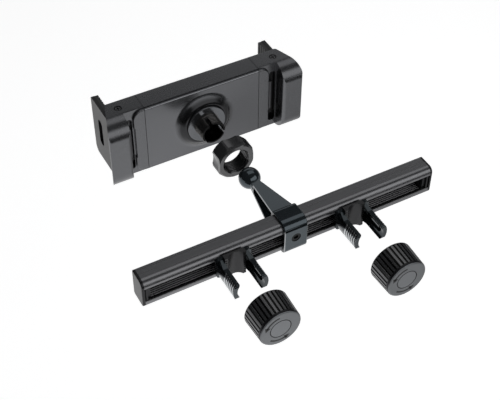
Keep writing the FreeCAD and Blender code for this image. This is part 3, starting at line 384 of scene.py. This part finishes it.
def collet_plastic():
    """Dark threaded tube with a lighter flange, and painted shade in the roots of its thread."""
    finish, speck, cloud = grained("collet_plastic", 2000.0, 2.0, 40.0, 3.0)
    x, _, z = finish.millimetres()
    radius = reach(x, z)
    tube = radius.below(COLLET_RADIUS + COLLET_MARGIN)
    # Painted shade: the roots of the thread are darkened.
    root = radius.below(COLLET_RADIUS - COLLET_CREST_DEPTH) * tube
    flange = mottled(finish, (0.15, 0.155, 0.165), cloud)
    crest = mottled(finish, (0.120, 0.116, 0.113), cloud)
    paint = finish.blend(tube, flange, crest)
    finish.set(base_color=finish.blend(root, paint, grey(0.006)), metallic=0.88,
               roughness=uneven(0.22, (speck, 0.08)), normal=finish.bump(speck, 0.15, FINE_GRAIN))
    return finish.material


def nut_plastic():
    """Satin nut, with painted shade in its bore between the crests of the thread."""
    finish, speck, cloud = grained("nut_plastic")
    x, _, z = finish.millimetres()
    radius = reach(x, z)
    bore = radius.below(NUT_BORE_RADIUS + NUT_BORE_MARGIN)
    # Painted shade: the roots of the bore's thread are darkened.
    root = radius.above(NUT_BORE_RADIUS + NUT_CREST_DEPTH)
    thread = finish.blend(root, (0.120, 0.120, 0.123), grey(0.004))
    body = mottled(finish, (0.115, 0.115, 0.118), cloud)
    finish.set(base_color=finish.blend(bore, body, thread), metallic=0.9,
               roughness=uneven(0.22, (cloud, 0.06), (speck, 0.08)),
               normal=finish.bump(speck, 0.2, GRAIN))
    return finish.material


def knob_plastic():
    """Black grip with a painted highlight on the ridges between its grooves."""
    finish, speck, cloud = grained("knob_plastic", 2400.0, 2.0, 60.0, 3.0)
    radius, front = finish.knob_polar()
    # Painted highlight: the ridges are made pale, while the grooves keep the black.
    ridge = (radius + front * KNOB_TAPER).above(KNOB_BACK_RADIUS - KNOB_RIDGE_DEPTH)
    ridge_highlight = mottled(finish, (0.140, 0.140, 0.144), cloud, 0.3)
    finish.set(base_color=finish.blend(ridge, grey(0.012), ridge_highlight), metallic=0.9,
               roughness=uneven(0.24, (speck, 0.10), (cloud, 0.08)),
               normal=finish.bump(speck, 0.2, GRAIN))
    return finish.material


def disc_plastic():
    """Grey knob face with a dark turned ring, a paler middle and painted shade in the seam round
    its rim.
    """
    finish, speck, cloud = grained("disc_plastic", 2400.0, 2.0, 60.0, 3.0)
    radius, _ = finish.knob_polar()
    ring = (radius - DISC_RING_RADIUS).size().below(DISC_RING_HALF_WIDTH)
    # Painted shade: a dark line in the seam round the rim.
    seam = radius.above(DISC_RADIUS - DISC_SEAM)
    middle = mottled(finish, (0.225, 0.234, 0.246), cloud, 0.06)
    outer = mottled(finish, (0.195, 0.203, 0.213), cloud, 0.06)
    face = finish.blend(radius.below(DISC_RING_RADIUS), outer, middle)
    finish.set(base_color=finish.blend((ring + seam).clamped(), face, (0.02, 0.02, 0.022)),
               roughness=uneven(0.36, (speck, 0.10)), metallic=0.75,
               normal=finish.bump(speck, 0.3, GRAIN))
    return finish.material


def holder_plastic():
    """Satin housing with painted shade in its seams and a painted highlight along the lower front
    edge of the jaws.
    """
    colour = (0.138, 0.140, 0.147)
    finish, speck, cloud = grained("holder_plastic")
    x, y, z = finish.millimetres()
    # Painted highlight along the lower front edge of the jaws.
    painted_edge_highlight = z.below(JAW_BOTTOM + JAW_HIGHLIGHT_HEIGHT) * y.below(JAW_FACE_Y + JAW_HIGHLIGHT_DEPTH)
    # Painted shade: a dark line in the seams beside the cover.
    seam = (x.size() - SEAM_X).size().below(SEAM_HALF_WIDTH)
    paint = finish.blend(painted_edge_highlight, mottled(finish, colour, cloud, 0.06), tone(colour, 2.0))
    finish.set(base_color=finish.blend(seam, paint, tone(colour, 0.35)), metallic=0.92,
               roughness=uneven(0.27, (cloud, 0.06), (speck, 0.05)),
               normal=finish.bump(speck, 0.15, FINE_GRAIN))
    return finish.material


def cover_plastic():
    """Satin cover, with a painted highlight along its top edge, a dark line of painted shade
    below it, painted shade in its seams and in the flare round its boss.
    """
    colour = (0.142, 0.144, 0.152)
    finish, speck, cloud = grained("cover_plastic")
    x, _, z = finish.millimetres()
    # Painted shade: the flare round the boss is darkened.
    flare = ((FLARE_RADIUS - reach(x, z)) / FLARE_FADE).clamped()
    # Painted highlight along the top edge.
    painted_edge_highlight = z.above(COVER_TOP - COVER_HIGHLIGHT[0]) * z.below(COVER_TOP - COVER_HIGHLIGHT[1])
    # Painted shade: a dark line just below the highlight.
    shade = z.above(COVER_TOP - COVER_SHADE[0]) * z.below(COVER_TOP - COVER_SHADE[1])
    # Painted shade: a dark line at the seams beside the housing.
    seam = x.size().above(COVER_HALF_WIDTH - SEAM_HALF_WIDTH)
    plate = finish.blend(painted_edge_highlight, mottled(finish, colour, cloud, 0.06), tone(colour, 2.2))
    plate = finish.blend((shade + seam).clamped(), plate, tone(colour, 0.3))
    finish.set(base_color=finish.blend(flare, plate, mottled(finish, tone(colour, 0.25), cloud)),
               roughness=uneven(0.23, (cloud, 0.06), (speck, 0.05)), metallic=0.92,
               normal=finish.bump(speck, 0.15, FINE_GRAIN))
    return finish.material


def screw_steel():
    """Blackened steel, finely speckled."""
    finish = Finish("screw_steel")
    speck = finish.noise(scale=1800.0, detail=3.0)
    finish.set(base_color=finish.blend(speck, (0.05, 0.05, 0.052), (0.10, 0.10, 0.105)),
               roughness=uneven(0.34, (speck, 0.2)), metallic=0.9,
               normal=finish.bump(speck, 0.2, FINE_GRAIN))
    return finish.material


def jaw_screw_steel():
    """Screw face as grey as the jaw, with painted shade on its rim and in its recess."""
    finish = Finish("jaw_screw_steel")
    speck = finish.noise(scale=1800.0, detail=3.0)
    x, y, z = finish.millimetres()
    # Painted shade: the rim round the head and the recess below its face are darkened.
    rim = reach(x.size() - SCREW_X, y - SCREW_Y).above(SCREW_RIM)
    recess = z.size().below(SCREW_TOP - SCREW_FACE_DEPTH)
    face = finish.blend(speck, (0.13, 0.13, 0.135), (0.19, 0.19, 0.197))
    finish.set(base_color=finish.blend((rim + recess).clamped(), face, grey(0.010)),
               roughness=uneven(0.30, (speck, 0.2)), metallic=0.9,
               normal=finish.bump(speck, 0.2, FINE_GRAIN))
    return finish.material


def pad_rubber():
    """Matt rubber with a coarse grain."""
    finish, speck, cloud = grained("pad_rubber", 1500.0, 4.0, 60.0, 3.0)
    finish.set(base_color=mottled(finish, (0.020, 0.020, 0.021), cloud, 0.2),
               roughness=uneven(0.5, (speck, 0.2)), normal=finish.bump(speck, 0.4, RUBBER_GRAIN))
    return finish.material


def seat_rubber():
    return moulded("seat_rubber", (0.043, 0.043, 0.045), roughness=0.33, sheen=0.7, grain=0.3,
                   grain_scale=1500.0)


def cap_plastic():
    return moulded("cap_plastic", (0.035, 0.035, 0.037), roughness=0.36, sheen=0.9, grain=0.3)


def hook_plastic():
    return moulded("hook_plastic", (0.012, 0.012, 0.013), roughness=0.42, sheen=0.2)


def gear_plastic():
    return moulded("gear_plastic", (0.08, 0.08, 0.085), roughness=0.35, sheen=0.7)


def mark_ink():
    return moulded("mark_ink", (0.012, 0.012, 0.013), roughness=0.5, sheen=0.0)


def lock_screw_steel():
    return moulded("lock_screw_steel", (0.012, 0.013, 0.014), roughness=0.32, sheen=0.8,
                   grain_scale=1800.0)


FINISHES = (rail_plastic, gloss_black, claw_plastic, collet_plastic, nut_plastic, knob_plastic,
            disc_plastic, holder_plastic, cover_plastic, screw_steel, jaw_screw_steel,
            pad_rubber, seat_rubber, cap_plastic, hook_plastic, gear_plastic, mark_ink,
            lock_screw_steel)

# Pieces with a finish of their own, by the start of the node's name
OWN_FINISHES = {"end_cap": "cap_plastic", "claw_fork": "claw_plastic",
                "socket_collet": "collet_plastic", "jaw_hook": "hook_plastic",
                "jaw_screw": "jaw_screw_steel", "arm_screw": "lock_screw_steel"}


def dress(frame):
    """Give every CAD node the finish of its slot in the record, or its own."""
    finishes = {make.__name__: make() for make in FINISHES}
    for part in frame["record"]["subparts"]:
        node = frame["nodes"][part["node"]]
        name = part["material_slot"]
        for start, own in OWN_FINISHES.items():
            if part["node"].startswith(start):
                name = own
        node.data.materials.clear()
        node.data.materials.append(finishes[name])
    return finishes


def pick(piece):
    """Leave this piece alone selected and active."""
    bpy.ops.object.select_all(action="DESELECT")
    piece.select_set(True)
    bpy.context.view_layer.objects.active = piece


def settle(piece, body, material):
    """Put the piece's place into its mesh, and hang it on its body."""
    pick(piece)
    bpy.ops.object.transform_apply(location=True, rotation=True, scale=True)
    piece.data.materials.clear()
    piece.data.materials.append(material)
    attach(piece, body)


def thicken(depth):
    """Give the flat sheet in edit mode its depth, towards the front."""
    bpy.ops.mesh.select_all(action="SELECT")
    bpy.ops.mesh.extrude_region_move(TRANSFORM_OT_translate={"value": (0, -depth, 0)})
    bpy.ops.mesh.select_all(action="SELECT")
    bpy.ops.mesh.normals_make_consistent(inside=False)
    bpy.ops.object.mode_set(mode="OBJECT")


def add_arrow(name, side, start, sweep, material):
    """Curved arrow let into a knob's face, turning round the knob's axis."""
    centre = Vector((CLAMP_X[side], KNOB_FACE_Y[side] + ARROW_INLAY, 0.0)) / 1000
    depth = (ARROW_INLAY + ARROW_PROUD) / 1000
    outer_radius = (ARROW_RADIUS + ARROW_STROKE / 2) / 1000
    bpy.ops.object.select_all(action="DESELECT")
    bpy.ops.mesh.primitive_circle_add(vertices=ARROW_ROUNDNESS, radius=outer_radius,
                                      fill_type="NGON", location=centre,
                                      rotation=(math.pi / 2, 0, 0))
    stroke = bpy.context.object
    bpy.ops.object.mode_set(mode="EDIT")
    bpy.ops.mesh.select_all(action="SELECT")
    bpy.ops.mesh.inset(thickness=ARROW_STROKE / 1000)
    bpy.ops.mesh.delete(type="FACE")
    for degrees, behind in ((start, True), (start + sweep, False)):
        angle = math.radians(degrees)
        bpy.ops.mesh.select_all(action="SELECT")
        bpy.ops.mesh.bisect(plane_co=centre, plane_no=(-math.sin(angle), 0, math.cos(angle)),
                            clear_inner=behind, clear_outer=not behind)
    thicken(depth)
    end = math.radians(start + sweep)
    tip = centre + Vector((math.cos(end), 0, math.sin(end))) * ARROW_RADIUS / 1000
    bpy.ops.mesh.primitive_circle_add(vertices=3, radius=ARROW_HEAD / 1000, fill_type="NGON",
                                      location=tip, rotation=(math.pi / 2, -end, 0))
    bpy.ops.object.mode_set(mode="EDIT")
    thicken(depth)
    stroke.select_set(True)
    bpy.context.view_layer.objects.active = stroke
    bpy.ops.object.join()
    stroke.name = name
    settle(stroke, "knob_" + side, material)


def drawn_in(point):
    """Place of a point of the cover once its boss has a round brow."""
    x, y, z = point * 1000
    radius = math.hypot(x, z)
    on_boss = BOSS_FACE_Y - BOSS_MARGIN < y < COVER_FACE_Y
    if not (on_boss and BOSS_HOLE_RADIUS < radius < BOSS_SPREAD):
        return point
    rise = (COVER_FACE_Y - y) / (COVER_FACE_Y - BOSS_FACE_Y)
    edge = min(1.0, (radius - BOSS_HOLE_RADIUS) / (BOSS_FLAT_RADIUS - BOSS_HOLE_RADIUS))
    kept = (radius - BOSS_DRAW_IN * edge * rise) / radius
    return Vector((x * kept, y, z * kept)) / 1000


def add_cover(frame, body, material):
    """The cover again, with the boss drawn in to the softer dome that it has."""
    source = frame["nodes"]["back_cover"]
    cover = source.copy()
    cover.data = source.data.copy()
    cover.name = "cover_plate"
    bpy.context.scene.collection.objects.link(cover)
    pick(cover)
    bpy.ops.object.mode_set(mode="EDIT")
    bpy.ops.mesh.select_all(action="SELECT")
    bpy.ops.mesh.remove_doubles(threshold=MERGE_DISTANCE)
    bpy.ops.object.mode_set(mode="OBJECT")
    for vertex in cover.data.vertices:
        vertex.co = drawn_in(vertex.co)
    bpy.ops.object.shade_smooth_by_angle(angle=math.radians(SMOOTH_ANGLE))
    cover.parent = None
    settle(cover, body, material)
    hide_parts("back_cover")


def add_camera():
    data = bpy.data.cameras.new("camera")
    data.sensor_width = CAMERA_SENSOR
    data.sensor_fit = "HORIZONTAL"
    data.lens = CAMERA_LENS
    data.clip_start, data.clip_end = CAMERA_CLIP
    camera = bpy.data.objects.new("camera", data)
    back = CAMERA_RIGHT.cross(CAMERA_UP)
    turn = Matrix((CAMERA_RIGHT, CAMERA_UP, back)).transposed().to_4x4()
    camera.matrix_world = Matrix.Translation(CAMERA_PLACE) @ turn
    bpy.context.scene.collection.objects.link(camera)
    bpy.context.scene.camera = camera


def add_softbox(name, place, aim, width, height, level, mirrored):
    """Area lamp of the given brightness; one that isn't mirrored only lifts the matt level."""
    data = bpy.data.lights.new(name, "AREA")
    data.shape = "RECTANGLE"
    data.size = width
    data.size_y = height
    data.energy = level * width * height * math.pi
    lamp = bpy.data.objects.new(name, data)
    lamp.visible_glossy = mirrored
    lamp.location = place
    lamp.rotation_mode = "QUATERNION"
    lamp.rotation_quaternion = (Vector(place) - Vector(aim)).to_track_quat("Z", "Y")
    bpy.context.scene.collection.objects.link(lamp)


def add_floor():
    """White floor that keeps the shadow; its mirror image fades towards the far right."""
    bpy.ops.mesh.primitive_plane_add(size=2 * FLOOR_HALF_WIDTH, location=(0, 0, FLOOR_LEVEL))
    floor = bpy.context.object
    floor.name = "floor"
    finish = Finish("floor_paint")
    cloud = finish.noise(scale=0.8, detail=2.0)
    paint = finish.blend(cloud, grey(FLOOR_COLOUR * (1 - FLOOR_MOTTLE)), grey(FLOOR_COLOUR))
    x, y, _ = finish.place()[1]
    aside = ((x - FLOOR_FADE_PLACE[0]) * FLOOR_FADE_STEEPNESS[0]).clamped()
    ahead = ((y - FLOOR_FADE_PLACE[1]) * FLOOR_FADE_STEEPNESS[1]).clamped()
    rays = finish.node("ShaderNodeLightPath")
    camera = Field(finish, rays.outputs["Is Camera Ray"])
    gloss = Field(finish, rays.outputs["Is Glossy Ray"]) * (1 - aside * ahead * FLOOR_FADE_DEPTH)
    glow = camera * FLOOR_SEEN + gloss * FLOOR_MIRRORED
    finish.set(base_color=paint, roughness=0.9, emission_strength=1.0,
               emission_color=finish.blend(glow, grey(0.0), grey(1.0)))
    floor.data.materials.append(finish.material)


def add_card():
    """Black card behind the camera, tilted up from the floor, for the dark bands in the gloss."""
    rise = Vector((0.0, CARD_FAR[0] - CARD_NEAR[0], CARD_FAR[1] - CARD_NEAR[1]))
    middle = Vector((0.0, CARD_FAR[0] + CARD_NEAR[0], CARD_FAR[1] + CARD_NEAR[1])) / 2
    bpy.ops.mesh.primitive_plane_add(size=1.0, location=(0, 0, 0))
    card = bpy.context.object
    card.name = "card"
    card.matrix_world = (Matrix.Translation(middle)
                         @ rise.to_track_quat("Y", "Z").to_matrix().to_4x4()
                         @ Matrix.Diagonal((CARD_WIDTH, rise.length, 1.0, 1.0)))
    finish = Finish("card_paper")
    cloud = finish.noise(scale=3.0, detail=2.0)
    finish.set(base_color=finish.blend(cloud, grey(0.010), grey(0.014)), roughness=0.95)
    card.data.materials.append(finish.material)
    card.visible_camera = False


def add_world():
    """Faint cool sky, seen white by the camera."""
    world = bpy.data.worlds.new("studio")
    world.use_nodes = True
    bpy.context.scene.world = world
    tree = world.node_tree
    lit = tree.nodes["Background"]
    lit.inputs["Color"].default_value = (*WORLD_COLOUR, 1.0)
    lit.inputs["Strength"].default_value = WORLD_LEVEL
    seen = tree.nodes.new("ShaderNodeBackground")
    seen.inputs["Color"].default_value = (1, 1, 1, 1)
    rays = tree.nodes.new("ShaderNodeLightPath")
    mixed = tree.nodes.new("ShaderNodeMixShader")
    tree.links.new(rays.outputs["Is Camera Ray"], mixed.inputs["Fac"])
    tree.links.new(lit.outputs[0], mixed.inputs[1])
    tree.links.new(seen.outputs[0], mixed.inputs[2])
    tree.links.new(mixed.outputs[0], tree.nodes["World Output"].inputs["Surface"])


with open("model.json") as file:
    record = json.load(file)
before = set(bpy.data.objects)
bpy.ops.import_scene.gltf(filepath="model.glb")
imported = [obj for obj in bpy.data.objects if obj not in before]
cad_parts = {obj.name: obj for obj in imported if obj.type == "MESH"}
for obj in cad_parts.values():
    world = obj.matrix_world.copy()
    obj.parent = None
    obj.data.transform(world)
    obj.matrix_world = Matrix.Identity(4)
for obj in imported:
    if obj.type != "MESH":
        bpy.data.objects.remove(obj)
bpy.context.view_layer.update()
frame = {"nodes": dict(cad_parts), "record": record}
bpy.ops.object.select_all(action="DESELECT")
finishes = dress(frame)
add_cover(frame, "holder", finishes["cover_plastic"])
for side in CLAMP_X:
    for number, (start, sweep) in enumerate(ARROWS, 1):
        add_arrow("knob_arrow_%s_%d" % (side, number), side, start, sweep, finishes["mark_ink"])
add_camera()
add_floor()
add_card()
add_world()
for softbox in SOFTBOXES:
    add_softbox(*softbox)
bpy.context.scene.view_settings.view_transform = "Standard"
